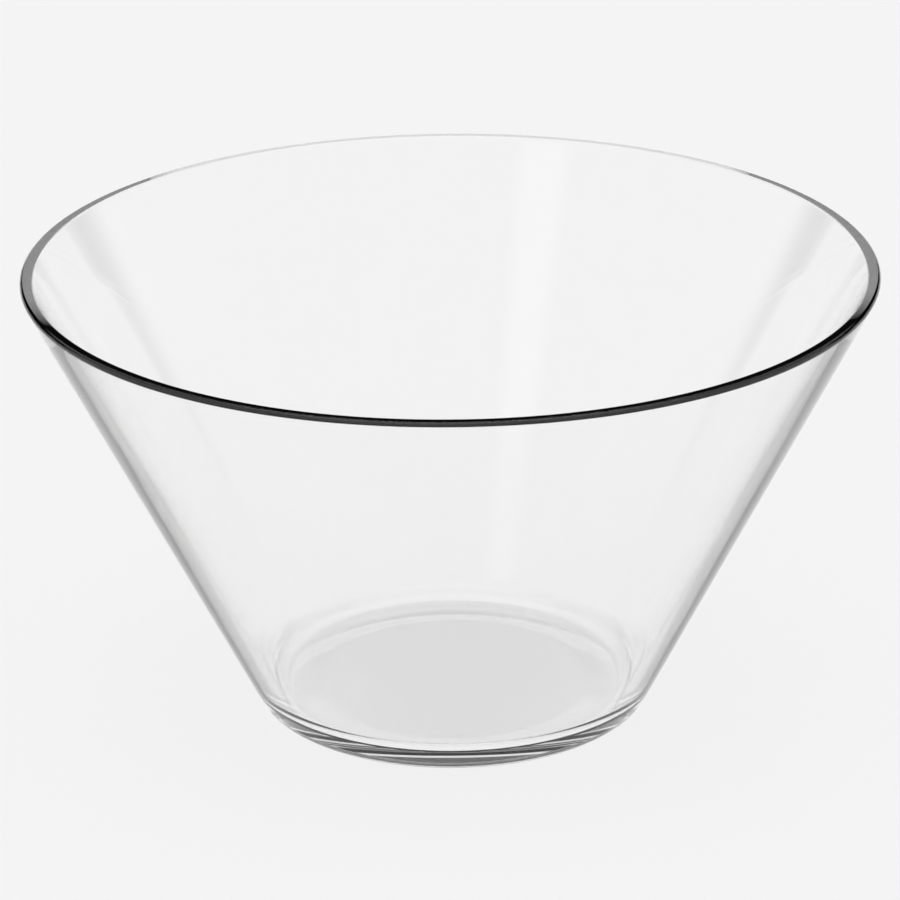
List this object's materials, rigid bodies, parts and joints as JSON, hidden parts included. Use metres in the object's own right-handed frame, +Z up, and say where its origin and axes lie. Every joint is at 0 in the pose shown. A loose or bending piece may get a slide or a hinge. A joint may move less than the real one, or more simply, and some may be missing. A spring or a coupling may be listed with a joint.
{
  "type": "serving bowl",
  "caption": "Clear glass serving bowl with straight flared sides, a flat rim with softened edges, a rolled heel and a flat floor over a recessed underside.",
  "frame": {"origin": "centre of the standing ring, on the surface that the bowl stands on", "axes": "+Z up along the bowl's axis of revolution"},
  "size_m": [0.28, 0.28, 0.152],
  "materials": {
    "clear_glass": "gloss"
  },
  "bodies": {
    "root": {"bowl": "clear_glass"}
  },
  "joints": []
}
